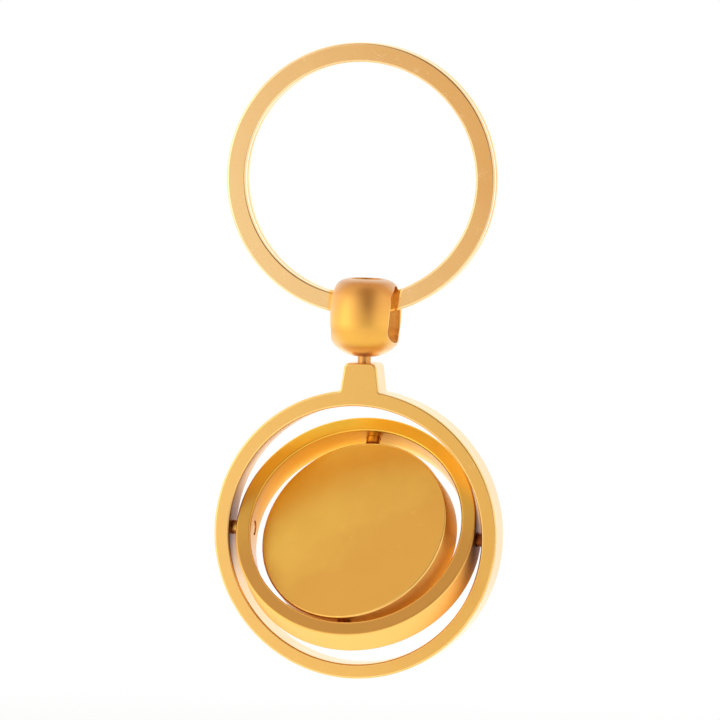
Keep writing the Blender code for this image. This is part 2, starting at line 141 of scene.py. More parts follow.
# How finely the pieces are drawn
RING_STEPS = 288
WIRE_STEPS = 900
CORNER_STEPS = 5
PIN_STEPS = 48
PIN_SIDE_STEPS = 20
WALL_STEPS = 14
WIRE_SLANT_STEPS = 14
LUG_TOP_STEPS = 9
LUG_CORNER_STEPS = 12
LUG_SIDE_STEPS = 14
LUG_FOOT_STEPS = 8
RIVET_DOME_STEPS = 6
DISC_FACE_STEPS = 12
BEAD_STEPS = 128
BEAD_PROFILE_STEPS = 24
BEAD_SLOT_STEPS = 72
BEAD_SLOT_ROWS = 25
SUPPORT = 0.00003
WELD = 0.0000001
SHARP_ABOVE = radians(40)

# How the bead's even mesh is drawn onto its exact surface
BEAD_VOXEL = 0.00009
BEAD_DRAWS = 6
BEAD_LARGEST_DRAW = 0.00005
BEAD_SLOPE_REACH = 0.00001
BEAD_LEAST_SLOPE = 0.2

# Painted marks: painted shade, painted reflections and painted bounce light, and the rubbed rim of the bead's slot. A
# band is where a mark starts or ends, and the length over which it comes or goes.
MARK_FADE = 0.0002
# Painted shade beside the pivots: how far along the wall it reaches
PIVOT_SHADE_REACH = 0.0042
WIRE_SHADE_SET_BACK = 0.0001
WIRE_SHADE_BELOW = 0.01
# Painted shade on the bead's crown and foot
CROWN_SHADE, CROWN_SHADE_BAND = 0.40, (0.0028, 0.0014)
FOOT_SHADE, FOOT_SHADE_TOP_BAND, FOOT_SHADE_LOW_BAND = 0.20, (-0.0001, 0.0010), (-0.0034, 0.0006)
SHADE_SKIN_BAND = (-0.0005, 0.0003)
SLOT_RUB_REACH, SLOT_RUB_SKIN = 0.00025, 0.0004
# Painted bounce light inside the bead
BEAD_INSIDE_BAND = (0.0002, 0.0004)
# Painted reflection on the inner ring's inner wall towards the lower right
FACING_WALL, FACING_WALL_BAND = 0.9, (0.006, 0.008)
# Painted reflection of the disc's edge on the inner ring's inner wall
WARM_HEIGHT_BAND, WARM_DEPTH_BAND, WARM_END_SPAN = (-0.0035, 0.005), (-0.003, 0.003), 0.0008
WARM_END, WARM_END_SHIFT, WARM_END_SHIFT_SPAN = 0.0009, 0.0007, 0.006
# Painted shade on the inner ring's wall beside the disc's top pin
TOP_PIN_SHADE, TOP_PIN_SHADE_PLACE, TOP_PIN_SHADE_REACH = 0.4, 0.0012, 0.0016
TOP_PIN_SHADE_DEPTH_BAND = (0.0016, 0.0008)
# Painted reflection of the inner ring on the disc's edge
FACING_EDGE, FACING_EDGE_BAND = 0.8, (0.0108, 0.002)
# Painted shade on the pins: where it starts and how far it reaches
OUTER_PIN_UNSHADED = {"left": 0.0139, "right": 0.0130}
OUTER_PIN_SHADE_SPAN = 0.0003
INNER_PIN_SHADE_REACH = 0.0007


# Points and meshes

def arc(centre, radius, start, end, steps):
    """Points on an arc in the plane, from one angle to another."""
    angles = [start + (end - start) * i / steps for i in range(steps + 1)]
    return [(centre[0] + radius * cos(a), centre[1] + radius * sin(a)) for a in angles]


def soft_rectangle(x0, x1, y0, y1, corner):
    """A rectangle with round corners, with a point close beside each corner so that its sides shade flat.

    It gives the points and, for each, 1 on a corner and 0 on a side."""
    points, edge = [], []
    corners = (((x1, y1), (-1, -1), pi / 2), ((x1, y0), (-1, 1), 0),
               ((x0, y0), (1, 1), -pi / 2), ((x0, y1), (1, -1), -pi))
    for (x, y), (sx, sy), start in corners:
        centre = (x + sx * corner, y + sy * corner)
        turn = arc(centre, corner, start, start - pi / 2, CORNER_STEPS)
        (ax, ay), (bx, by) = (cos(start), sin(start)), (cos(start - pi / 2), sin(start - pi / 2))
        before = (turn[0][0] - SUPPORT * bx, turn[0][1] - SUPPORT * by)
        after = (turn[-1][0] - SUPPORT * ax, turn[-1][1] - SUPPORT * ay)
        points += [before, *turn, after]
        edge += [0] + [1] * len(turn) + [0]
    return points, edge


def grid_object(name, rows, edge=None, close_rows=True, close_columns=True, cap_ends=False):
    """A mesh whose faces join each row of points to the next."""
    rows = np.asarray(rows, float)
    count, width = rows.shape[:2]
    faces = []
    for i in range(count if close_rows else count - 1):
        j = (i + 1) % count
        for k in range(width if close_columns else width - 1):
            m = (k + 1) % width
            faces.append((i * width + k, i * width + m, j * width + m, j * width + k))
    if cap_ends:
        faces.append(tuple(range(width - 1, -1, -1)))
        faces.append(tuple((count - 1) * width + k for k in range(width)))
    mesh = bpy.data.meshes.new(name)
    mesh.from_pydata([tuple(p) for p in rows.reshape(-1, 3)], [], faces)
    if edge is not None:
        write_mask(mesh, "edge", np.tile(edge, count))
    shell = bmesh.new()
    shell.from_mesh(mesh)
    bmesh.ops.remove_doubles(shell, verts=shell.verts, dist=WELD)
    bmesh.ops.recalc_face_normals(shell, faces=shell.faces)
    shell.to_mesh(mesh)
    shell.free()
    mesh.shade_smooth()
    piece = bpy.data.objects.new(name, mesh)
    bpy.context.scene.collection.objects.link(piece)
    return piece


def turned(name, profile, edge, axis, steps, closed):
    """A solid of revolution: a profile of radius and height, turned about Y, X or Z."""
    place = {"X": lambda r, h, a: (h, r * cos(a), r * sin(a)),
             "Y": lambda r, h, a: (r * cos(a), h, r * sin(a)),
             "Z": lambda r, h, a: (r * cos(a), r * sin(a), h)}[axis]
    rows = [[place(r, h, 2 * pi * i / steps) for r, h in profile] for i in range(steps)]
    return grid_object(name, rows, edge, True, closed)


def round_bar(name, low, high, axis, place):
    """A pin between two heights of an axis, with softly rounded ends."""
    rim, round_ = PIN_RADIUS - PIN_END_ROUND, PIN_END_ROUND
    top = arc((rim, high - round_), round_, pi / 2, 0, CORNER_STEPS)
    bottom = arc((rim, low + round_), round_, 0, -pi / 2, CORNER_STEPS)
    first, last = high - round_ - SUPPORT, low + round_ + SUPPORT
    side = [(PIN_RADIUS, first + (last - first) * i / PIN_SIDE_STEPS) for i in range(PIN_SIDE_STEPS + 1)]
    profile = [(0, high), (rim - SUPPORT, high), *top, *side, *bottom, (rim - SUPPORT, low), (0, low)]
    edge = [0, 0] + [1] * len(top) + [0] * len(side) + [1] * len(bottom) + [0, 0]
    bar = turned(name, profile, edge, axis, PIN_STEPS, False)
    bar.data.transform(place)
    return bar


def drill(piece, holes):
    """Cuts round holes, each given by its name, radius, axis, start and end, from a piece."""
    cutters = []
    for name, radius, axis, start, end in holes:
        profile = [(0, start), (radius, start), (radius, end), (0, end)]
        cutter = turned(name, profile, [0] * len(profile), axis, PIN_STEPS, False)
        step = piece.modifiers.new(name, "BOOLEAN")
        step.operation, step.solver, step.object = "DIFFERENCE", "EXACT", cutter
        cutters.append(cutter)
    settle(piece)
    for cutter in cutters:
        bpy.data.objects.remove(cutter)


def settle(piece):
    """Makes the modifiers' result the piece's own mesh."""
    bpy.context.view_layer.update()
    mesh = bpy.data.meshes.new_from_object(piece.evaluated_get(bpy.context.evaluated_depsgraph_get()))
    piece.modifiers.clear()
    piece.data = mesh
    mesh.shade_smooth()
    mesh.set_sharp_from_angle(angle=SHARP_ABOVE)


def mesh_points(mesh):
    """A mesh's points as rows of X, Y and Z."""
    points = np.empty(len(mesh.vertices) * 3)
    mesh.vertices.foreach_get("co", points)
    return points.reshape(-1, 3)


def write_mask(mesh, name, values):
    """Keeps a value for each point of a mesh under a name, for the finish to read."""
    mask = mesh.attributes.new(name, "FLOAT", "POINT")
    mask.data.foreach_set("value", np.asarray(values, np.float32))


def paint(piece, name, rule, place):
    """Writes a point attribute from a rule on the points as they lie in a frame."""
    inverse = np.array(place.inverted())
    write_mask(piece.data, name, rule(mesh_points(piece.data) @ inverse[:3, :3].T + inverse[:3, 3]))


def rise(values, start, span):
    """0 up to a start, and 1 from a span beyond it."""
    return np.clip((values - start) / span, 0, 1)


def fall(values, end, span):
    """1 up to a span before an end, and 0 beyond the end."""
    return np.clip((end - values) / span, 0, 1)


def near_pivots(wall, inward):
    """Painted shade: 1 on a ring's wall beside its two level pivots, fading along the wall and away from it."""
    def rule(points):
        radius = np.hypot(points[:, 0], points[:, 2])
        on_wall = np.clip(1 - (radius - wall) * inward / MARK_FADE, 0, 1)
        return on_wall * np.exp(-(points[:, 2] / PIVOT_SHADE_REACH) ** 2)
    return rule


# Split ring

def wire_line():
    """The wire's middle line: two turns about Z, joined by a smooth step."""
    layer = (WIRE_THICKNESS + TURN_GAP) / 2
    start = WIRE_STEP_SPAN / 2 + WIRE_END_SPAN
    end = 4 * pi - start
    points = []
    for i in range(WIRE_STEPS + 1):
        angle = start + (end - start) * i / WIRE_STEPS
        share = min(max((angle - 2 * pi) / WIRE_STEP_SPAN + 0.5, 0), 1)
        height = layer * (1 - 2 * share * share * (3 - 2 * share))
        points.append((RING_MIDDLE_RADIUS * cos(angle), RING_MIDDLE_RADIUS * sin(angle), height))
    return points


def in_bead(points):
    """Painted shade and reflection: 1 for the part of the wire inside the bead, fading at the slot's mouths."""
    reach = np.hypot(points[:, 0], points[:, 1])
    return fall(reach, BEAD_RADIUS - WIRE_SHADE_SET_BACK, MARK_FADE) * (points[:, 2] < WIRE_SHADE_BELOW)


def build_split_ring():
    """The flat wire in its two turns, with softly broken edges and blunt cut ends."""
    line = [Vector(p) for p in wire_line()]
    half_width, half_height = RING_BAND_WIDTH / 2, WIRE_THICKNESS / 2
    rows, edge = [], None

    def add_row(point, ahead, inset, lean=0.0):
        """One section of the wire at a point, square to the way ahead or leaning back at its outer side."""
        nonlocal edge
        outward = Vector((point.x, point.y, 0)).normalized()
        up = outward.cross(ahead).normalized()
        if up.z < 0:
            up = -up
        section, edge = soft_rectangle(inset - half_width, half_width - inset, inset - half_height,
                                       half_height - inset, WIRE_EDGE_ROUND)
        rows.append([point + outward * x + up * y - ahead * lean * x for x, y in section])

    first, last = (line[1] - line[0]).normalized(), (line[-1] - line[-2]).normalized()
    for i in range(CORNER_STEPS):
        angle = pi / 2 * i / CORNER_STEPS
        add_row(line[0] + first * WIRE_END_ROUND * (1 - cos(angle)), first, WIRE_END_ROUND * (1 - sin(angle)),
                WIRE_END_SLANT)
    for i in range(2, len(line) - 2):
        lean = WIRE_END_SLANT * max(1 - (i - 2) / WIRE_SLANT_STEPS, 0)
        add_row(line[i], (line[i + 1] - line[i - 1]).normalized(), 0, lean)
    for i in range(CORNER_STEPS - 1, -1, -1):
        angle = pi / 2 * i / CORNER_STEPS
        add_row(line[-1] - last * WIRE_END_ROUND * (1 - cos(angle)), last, WIRE_END_ROUND * (1 - sin(angle)))
    ring = grid_object("split_ring_wire", rows, edge, False, True, cap_ends=True)
    front_end_angle = asin((SWIVEL_OFFSET + BEAD_RADIUS + WIRE_END_OUTSIDE_BEAD) / RING_MIDDLE_RADIUS)
    step_angle = front_end_angle - WIRE_STEP_SPAN / 2 - WIRE_END_SPAN - pi / 2
    ring.data.transform(Matrix.Translation((0, 0, RING_CENTRE_Z)) @ Matrix.Rotation(pi / 2, 4, "X")
                        @ Matrix.Rotation(step_angle, 4, "Z"))
    # Painted shade and reflection of the bead's gold on the wire inside the bead
    paint(ring, "inside", in_bead, BEAD)
    return ring


# Bead

def bead_side(height):
    """For heights from the bead's waist, how far its uncut barrel reaches that way and how full its curve is."""
    full = np.where(height > 0, BEAD_ABOVE_WAIST + BEAD_CROWN_CUT, BEAD_BELOW_WAIST + BEAD_BASE_CUT)
    power = np.where(height > 0, BEAD_CROWN_FULLNESS, BEAD_BASE_FULLNESS)
    return full, power


def barrel_distance(points):
    """About how far points are outside the bead's barrel, its ends not yet cut flat."""
    radius = np.hypot(points[:, 0], points[:, 1])
    full, power = bead_side(points[:, 2])
    share = ((radius / BEAD_RADIUS) ** power + np.abs(points[:, 2] / full) ** power) ** (1 / power)
    slope_r = (radius / BEAD_RADIUS) ** (power - 1) / BEAD_RADIUS
    slope_z = np.abs(points[:, 2] / full) ** (power - 1) / full
    slope = np.hypot(slope_r, slope_z) / np.maximum(share, 1e-6) ** (power - 1)
    return (share - 1) / np.maximum(slope, 1)


def slot_roof(along, across):
    """The height of the slot's arched roof, lower towards the front of the right-hand mouth."""
    to_corner = np.maximum(along - BEAD_SLOT_MOUTH_LEAN * across - BEAD_SLOT_MOUTH_FROM, 0)
    arch = BEAD_SLOT_ROOF_ARCH * (across / BEAD_SLOT_HALF_WIDTH) ** 2
    return BEAD_SLOT_ROOF - arch - BEAD_SLOT_MOUTH_DROP * to_corner


def slot_distance(points):
    """About how far points are outside the slot, which runs through the bead along X."""
    above = points[:, 2] > BEAD_SLOT_WIDEST
    half = np.where(above, BEAD_SLOT_TOP - BEAD_SLOT_WIDEST, BEAD_SLOT_WIDEST - BEAD_SLOT_BOTTOM)
    up, across = np.abs((points[:, 2] - BEAD_SLOT_WIDEST) / half), np.abs(points[:, 1] / BEAD_SLOT_HALF_WIDTH)
    power = np.where(above, BEAD_SLOT_TOP_FULLNESS, BEAD_SLOT_FULLNESS)
    share = (up ** power + across ** power) ** (1 / power)
    slope = np.hypot(up ** (power - 1) / half, across ** (power - 1) / BEAD_SLOT_HALF_WIDTH)
    slope = slope / np.maximum(share, 1e-6) ** (power - 1)
    above_roof = points[:, 2] - slot_roof(points[:, 0], points[:, 1])
    return soft_max((share - 1) / np.maximum(slope, 1), above_roof, BEAD_SLOT_ROOF_ROUND)


def soft_max(a, b, width):
    """The larger of two distances, rounded over where they are within a width of each other."""
    share = np.clip(0.5 + (a - b) / (2 * width), 0, 1)
    return b + (a - b) * share + width * share * (1 - share)


def bead_distance(points):
    """About how far points are outside the finished bead, with every edge softly rounded."""
    radius = np.hypot(points[:, 0], points[:, 1])
    distance = soft_max(barrel_distance(points), points[:, 2] - BEAD_ABOVE_WAIST, BEAD_CROWN_ROUND)
    distance = soft_max(distance, -BEAD_BELOW_WAIST - points[:, 2], BEAD_BASE_ROUND)
    distance = soft_max(distance, -slot_distance(points), BEAD_SLOT_RIM_ROUND)
    bore = np.maximum(radius - BEAD_BORE_RADIUS, BEAD_SEAT - points[:, 2])
    distance = soft_max(distance, -bore, BEAD_BORE_RIM_ROUND)
    return soft_max(distance, RIVET_NECK_HOLE_RADIUS - radius, BEAD_NECK_RIM_ROUND)


def bead_painted_shade(points):
    """Painted shade: a slight darkening of the bead's crown, and less of its foot."""
    height = points[:, 2]
    crown = rise(height, *CROWN_SHADE_BAND)
    foot = fall(height, *FOOT_SHADE_TOP_BAND) * rise(height, *FOOT_SHADE_LOW_BAND)
    outside = rise(barrel_distance(points), *SHADE_SKIN_BAND)
    return (CROWN_SHADE * crown + FOOT_SHADE * foot) * outside


def bead_slot_cutter():
    """The solid that the slot is cut with, longer than the bead is wide."""
    rows = []
    for x in np.linspace(-BEAD_CUT_REACH, BEAD_CUT_REACH, BEAD_SLOT_ROWS):
        row = []
        for i in range(BEAD_SLOT_STEPS):
            angle = 2 * pi * i / BEAD_SLOT_STEPS
            above = cos(angle) > 0
            power = 2 / (BEAD_SLOT_TOP_FULLNESS if above else BEAD_SLOT_FULLNESS)
            half = BEAD_SLOT_TOP - BEAD_SLOT_WIDEST if above else BEAD_SLOT_WIDEST - BEAD_SLOT_BOTTOM
            up = np.sign(cos(angle)) * abs(cos(angle)) ** power
            across = np.sign(sin(angle)) * abs(sin(angle)) ** power * BEAD_SLOT_HALF_WIDTH
            row.append((x, across, min(BEAD_SLOT_WIDEST + half * up, slot_roof(x, across))))
        rows.append(row)
    return grid_object("bead_slot_cutter", rows, None, False, True, cap_ends=True)


def draw_onto_bead(points):
    """Points near the bead's surface, moved onto it."""
    for _ in range(BEAD_DRAWS):
        here = bead_distance(points)
        slope = np.stack([(bead_distance(points + BEAD_SLOPE_REACH * axis)
                           - bead_distance(points - BEAD_SLOPE_REACH * axis)) / (2 * BEAD_SLOPE_REACH)
                          for axis in np.eye(3)], 1)
        length = np.maximum((slope ** 2).sum(1), BEAD_LEAST_SLOPE)
        points = points - slope * np.clip(here / length, -BEAD_LARGEST_DRAW, BEAD_LARGEST_DRAW)[:, None]
    return points


def build_bead():
    """The bead, meshed evenly and then drawn onto its exact soft-edged surface."""
    steps = BEAD_PROFILE_STEPS
    heights = [BEAD_ABOVE_WAIST * cos(pi / 2 * i / steps) for i in range(steps + 1)]
    heights += [-BEAD_BELOW_WAIST * sin(pi / 2 * i / steps) for i in range(1, steps + 1)]
    profile = [(0, BEAD_ABOVE_WAIST)]
    for height in heights:
        full, power = bead_side(np.array(height))
        profile.append((BEAD_RADIUS * float(1 - abs(height / full) ** power) ** float(1 / power), height))
    profile.append((0, -BEAD_BELOW_WAIST))
    bead = turned("bead_barrel", profile, [0] * len(profile), "Z", BEAD_STEPS, False)

    slot = bead_slot_cutter()
    step = bead.modifiers.new("Slot", "BOOLEAN")
    step.operation, step.solver, step.object = "DIFFERENCE", "EXACT", slot
    settle(bead)
    bpy.data.objects.remove(slot)
    drill(bead, [("bead_bore", BEAD_BORE_RADIUS, "Z", BEAD_SEAT, BEAD_CUT_REACH),
                 ("bead_neck_hole", RIVET_NECK_HOLE_RADIUS, "Z", -BEAD_CUT_REACH, 0)])
    remesh = bead.modifiers.new("Even", "REMESH")
    remesh.mode, remesh.voxel_size = "VOXEL", BEAD_VOXEL
    settle(bead)

    mesh = bead.data
    points = draw_onto_bead(mesh_points(mesh))
    mesh.vertices.foreach_set("co", points.ravel())
    rub = fall(np.abs(slot_distance(points)), SLOT_RUB_REACH, SLOT_RUB_REACH)
    write_mask(mesh, "edge", rub * (np.abs(barrel_distance(points)) < SLOT_RUB_SKIN))
    # Painted bounce light: the inside of the slot and bore turns to the paler inner tone
    write_mask(mesh, "inside", rise(-barrel_distance(points), *BEAD_INSIDE_BAND))
    mesh.update()
    mesh.shade_smooth()
    bead.data.transform(BEAD)
    # Painted shade on the bead's crown and foot
    paint(bead, "painted_shade", bead_painted_shade, BEAD)
    return bead


# Rivet

def build_rivet():
    """The swivel rivet: a low domed head on the bead's seat, and its shank down into the lug."""
    under = WAIST_Z + BEAD_SEAT + RIVET_HEAD_GAP - GIMBAL_CENTRE_Z
    top = under + RIVET_HEAD_HEIGHT
    foot = LUG_TOP_Z - RIVET_FOOT_BELOW_LUG_TOP - GIMBAL_CENTRE_Z
    rim = arc((RIVET_HEAD_RADIUS - RIVET_HEAD_ROUND, top - RIVET_HEAD_ROUND), RIVET_HEAD_ROUND,
              RIVET_HEAD_ROUND_FROM, 0, CORNER_STEPS)
    dome = [(RIVET_HEAD_RADIUS * RIVET_DOME_SHARE * i / RIVET_DOME_STEPS,
             top - RIVET_DOME_FALL * (i / RIVET_DOME_STEPS) ** 2) for i in range(RIVET_DOME_STEPS + 1)]
    shank = [(RIVET_HEAD_RADIUS, under + RIVET_EDGE_BREAK), (RIVET_HEAD_RADIUS - RIVET_EDGE_BREAK, under),
             (RIVET_SHANK_RADIUS + RIVET_ROOT_BREAK, under), (RIVET_SHANK_RADIUS, under - RIVET_ROOT_BREAK),
             (RIVET_SHANK_RADIUS, foot), (0, foot)]
    profile = dome + rim + shank
    edge = [0] * len(dome) + [1] * len(rim) + [0] * len(shank)
    rivet = turned("rivet", profile, edge, "Z", PIN_STEPS, False)
    rivet.data.set_sharp_from_angle(angle=SHARP_ABOVE)
    rivet.data.transform(SWIVEL)
    return rivet


# Outer ring

def outer_outline():
    """The outer ring's edge with its lug: points, and which way each faces, clockwise from the lug's top."""
    half_base, half_top = LUG_BASE_WIDTH / 2, LUG_TOP_WIDTH / 2
    top = OUTER_RING_RADIUS + LUG_RISE
    foot_angle = asin(half_base / OUTER_RING_RADIUS)
    foot_height = OUTER_RING_RADIUS * cos(foot_angle)
    lean = asin((half_base - half_top) / sqrt((half_base - half_top) ** 2 + (top - foot_height) ** 2))
    inset = LUG_CORNER_ROUND * (1 - sin(lean)) / cos(lean)
    corner = (half_top - inset, top - LUG_CORNER_ROUND)
    points, facing = [], []

    for i in range(LUG_TOP_STEPS):
        points.append((corner[0] * i / LUG_TOP_STEPS, top))
        facing.append(pi / 2)
    for i in range(LUG_CORNER_STEPS + 1):
        angle = pi / 2 + (lean - pi / 2) * i / LUG_CORNER_STEPS
        points.append((corner[0] + LUG_CORNER_ROUND * cos(angle), corner[1] + LUG_CORNER_ROUND * sin(angle)))
        facing.append(angle)

    # The foot's fillet touches the lug's side and the ring's edge
    side = Vector((cos(lean), sin(lean)))
    base = Vector(points[-1])
    down = Vector((sin(lean), -cos(lean)))
    reach = OUTER_RING_RADIUS + LUG_FOOT_ROUND
    line_start = base + side * LUG_FOOT_ROUND
    along = -line_start.dot(down)
    away = line_start + down * along
    run = along - sqrt(reach ** 2 - away.length_squared)
    centre = line_start + down * run
    for i in range(1, LUG_SIDE_STEPS):
        points.append(tuple(base + down * run * i / LUG_SIDE_STEPS))
        facing.append(lean)
    ring_angle = np.arctan2(centre.y, centre.x)
    start, end = lean + pi, ring_angle + pi
    for i in range(LUG_FOOT_STEPS + 1):
        angle = start + (end - start) * i / LUG_FOOT_STEPS
        points.append((centre.x + LUG_FOOT_ROUND * cos(angle), centre.y + LUG_FOOT_ROUND * sin(angle)))
        facing.append(angle - pi)
    steps = RING_STEPS // 2
    for i in range(1, steps + 1):
        angle = ring_angle + (-pi / 2 - ring_angle) * i / steps
        points.append((OUTER_RING_RADIUS * cos(angle), OUTER_RING_RADIUS * sin(angle)))
        facing.append(angle)
    mirrored = [((-x, y), pi - a) for (x, y), a in list(zip(points, facing))[-2:0:-1]]
    return points + [p for p, _ in mirrored], facing + [a for _, a in mirrored]


def build_outer_ring():
    """The outer ring and its lug, cast in one piece with softly rounded edges."""
    points, facing = outer_outline()
    half, corner = RING_DEPTH / 2, EDGE_ROUND
    quarter = [pi / 2 * i / CORNER_STEPS for i in range(CORNER_STEPS + 1)]

    def soft_edge(point, way, side):
        """From the flat of a wall that faces a way, round its edge and onto the front or back face."""
        turn = [point - way * corner * (1 - cos(a)) + Vector((0, side * (half - corner * (1 - sin(a))), 0))
                for a in quarter]
        wall = point + Vector((0, side * (half - corner - SUPPORT), 0))
        face = point - way * (corner + SUPPORT) + Vector((0, side * half, 0))
        return [wall, *turn, face]

    rows = []
    for (x, z), angle in zip(points, facing):
        outer, out = Vector((x, 0, z)), Vector((cos(angle), 0, sin(angle)))
        spoke = outer.normalized()
        inner = spoke * OUTER_RING_INNER_RADIUS - Vector((0, 0, OUTER_HOLE_DROP))
        rows.append(soft_edge(outer, out, 1) + soft_edge(inner, -spoke, 1)[::-1]
                    + soft_edge(inner, -spoke, -1) + soft_edge(outer, out, -1)[::-1])
    part = [0] + [1] * (CORNER_STEPS + 1) + [0]
    ring = grid_object("outer_ring_casting", rows, part * 4)
    ring.data.transform(SWIVEL)
    # Painted shade on the outer ring's inner wall beside the pins, standing in for the inner ring's dark reflection
    paint(ring, "painted_shade", near_pivots(OUTER_RING_INNER_RADIUS, 1), SWIVEL)
    return ring


# Inner ring, disc and pins

def on_inner_wall(points):
    """1 on the inner ring's inner wall."""
    return fall(np.hypot(points[:, 0], points[:, 2]), INNER_RING_INNER_RADIUS + MARK_FADE, MARK_FADE)


def facing_gold(points):
    """Painted reflection of the facing gold: 1 on the inner ring's outer wall, and less on its inner wall, towards
    the lower right.
    """
    outer = rise(np.hypot(points[:, 0], points[:, 2]), INNER_RING_RADIUS - MARK_FADE, MARK_FADE)
    return outer + on_inner_wall(points) * FACING_WALL * rise(points[:, 0] - points[:, 2], *FACING_WALL_BAND)


def warm_wall(points):
    """Painted reflection of the disc's edge: where the upper part of the inner ring's inner wall faces the disc's
    edge and looks deep orange.
    """
    depth = points[:, 1]
    upper = rise(points[:, 2], *WARM_HEIGHT_BAND)
    end = WARM_END + WARM_END_SPAN - WARM_END_SHIFT * rise(points[:, 0], 0, WARM_END_SHIFT_SPAN)
    return on_inner_wall(points) * upper * rise(depth, *WARM_DEPTH_BAND) * fall(depth, end, WARM_END_SPAN)


def ring_painted_shade(points):
    """Painted shade on the inner ring beside its outer pins, and on its inner wall beside the disc's top pin."""
    upper_wall = on_inner_wall(points) * (points[:, 2] > 0)
    beside_pin = np.exp(-((points[:, 0] - TOP_PIN_SHADE_PLACE) / TOP_PIN_SHADE_REACH) ** 2)
    beside_pin = beside_pin * fall(points[:, 1], *TOP_PIN_SHADE_DEPTH_BAND)
    return near_pivots(INNER_RING_RADIUS, -1)(points) + TOP_PIN_SHADE * upper_wall * beside_pin


def build_inner_ring():
    """The inner ring, drilled through for the outer pins and part-way for the inner pins."""
    half = RING_DEPTH / 2
    section, edge = soft_rectangle(INNER_RING_INNER_RADIUS, INNER_RING_RADIUS, -half, half, EDGE_ROUND)
    wall = len(section) * 3 // 4    # the inner wall lies between the third corner and the fourth
    (radius, front), (_, back) = section[wall - 1], section[wall]
    section[wall:wall] = [(radius, front + (back - front) * i / WALL_STEPS) for i in range(1, WALL_STEPS)]
    edge[wall:wall] = [0] * (WALL_STEPS - 1)
    ring = turned("inner_ring_hoop", section, edge, "Y", RING_STEPS, True)
    hole = PIN_RADIUS + PIN_PLAY
    inside, outside = INNER_RING_INNER_RADIUS - HOLE_OVERRUN, INNER_RING_RADIUS + HOLE_OVERRUN
    socket = INNER_RING_INNER_RADIUS + PIN_DEPTH + PIN_PLAY
    drill(ring, [("left", hole, "X", -outside, -inside), ("right", hole, "X", inside, outside),
                 ("bottom", hole, "Z", -socket, -inside), ("top", hole, "Z", inside, socket)])
    ring.data.transform(TILT)
    # Painted shade on the inner ring beside its pins
    paint(ring, "painted_shade", ring_painted_shade, TILT)
    # Painted reflection of the facing gold on the inner ring's walls
    paint(ring, "inside", facing_gold, TILT)
    # Painted reflection of the disc's edge on the inner ring's inner wall
    paint(ring, "warm", warm_wall, TILT)
    return ring


def facing_ring(points):
    """Painted reflection on the disc's edge at its lower right, where it faces the inner ring closely."""
    on_edge = rise(np.hypot(points[:, 0], points[:, 2]), DISC_RADIUS - MARK_FADE, MARK_FADE)
    return FACING_EDGE * on_edge * rise(points[:, 0] - points[:, 2], *FACING_EDGE_BAND)


def build_disc():
    """The plain disc, with softly rounded edges."""
    back, front = DISC_SET_BACK + DISC_THICKNESS / 2, DISC_SET_BACK - DISC_THICKNESS / 2
    rim = DISC_RADIUS - EDGE_ROUND
    far = arc((rim, back - EDGE_ROUND), EDGE_ROUND, pi / 2, 0, CORNER_STEPS)
    near = arc((rim, front + EDGE_ROUND), EDGE_ROUND, 0, -pi / 2, CORNER_STEPS)
    flat = [rim * i / DISC_FACE_STEPS for i in range(DISC_FACE_STEPS)]
    profile = [(r, back) for r in flat] + [(rim - SUPPORT, back)] + far
    profile += [(DISC_RADIUS, back - EDGE_ROUND - SUPPORT), (DISC_RADIUS, front + EDGE_ROUND + SUPPORT)]
    profile += near + [(rim - SUPPORT, front)] + [(r, front) for r in reversed(flat)]
    face = [0] * (len(flat) + 1)
    edge = face + [1] * len(far) + [0, 0] + [1] * len(near) + face
    disc = turned("disc_face", profile, edge, "Y", RING_STEPS, False)
    disc.data.transform(SPIN)
    # Painted reflection of the inner ring on the disc's edge
    paint(disc, "inside", facing_ring, SPIN)
    return disc


def build_pins():
    """The four pivot pins: two fixed in the outer ring, two in the disc's edge."""
    pins = {}
    for side, sign in (("left", -1), ("right", 1)):
        ends = sorted((sign * (INNER_RING_INNER_RADIUS + PIN_RECESS), sign * (OUTER_RING_INNER_RADIUS + PIN_DEPTH)))
        pin = round_bar("pivot_outer_" + side, *ends, "X", SWIVEL)
        # Painted shade on each outer pin where it crosses the gap between the rings
        unshaded = OUTER_PIN_UNSHADED[side]
        paint(pin, "painted_shade", lambda points: rise(np.abs(points[:, 0]), unshaded, OUTER_PIN_SHADE_SPAN), SWIVEL)
        pins["outer_pin_" + side] = pin
    # Painted shade on each inner pin's part next to the disc
    painted_shade_end = DISC_RADIUS + INNER_PIN_SHADE_REACH
    for side, sign in (("bottom", -1), ("top", 1)):
        reach = INNER_RING_INNER_RADIUS + PIN_DEPTH + sign * DISC_SET_DOWN
        ends = sorted((sign * (DISC_RADIUS - DISC_PIN_DEPTH), sign * reach))
        pin = round_bar("pivot_inner_" + side, *ends, "Z", SPIN)
        paint(pin, "painted_shade", lambda points: fall(np.abs(points[:, 2]), painted_shade_end, MARK_FADE), SPIN)
        pins["inner_pin_" + side] = pin
    return pins


# Finishes

def tone(red, green, blue):
    """A colour written as a picture shows it, 0 to 255, for a shader."""
    return (*[((v / 255 + 0.055) / 1.055) ** 2.4 for v in (red, green, blue)], 1)


def new_group(name, inputs, outputs):
    """An empty shader node group with named inputs and outputs; an input is its name, kind and value."""
    group = bpy.data.node_groups.new(name, "ShaderNodeTree")
    for label, kind, value in inputs:
        socket = group.interface.new_socket(label, in_out="INPUT", socket_type="NodeSocket" + kind)
        if value is not None:
            socket.default_value = value
    for label, kind in outputs:
        group.interface.new_socket(label, in_out="OUTPUT", socket_type="NodeSocket" + kind)
    return group, group.nodes.new("NodeGroupInput"), group.nodes.new("NodeGroupOutput")


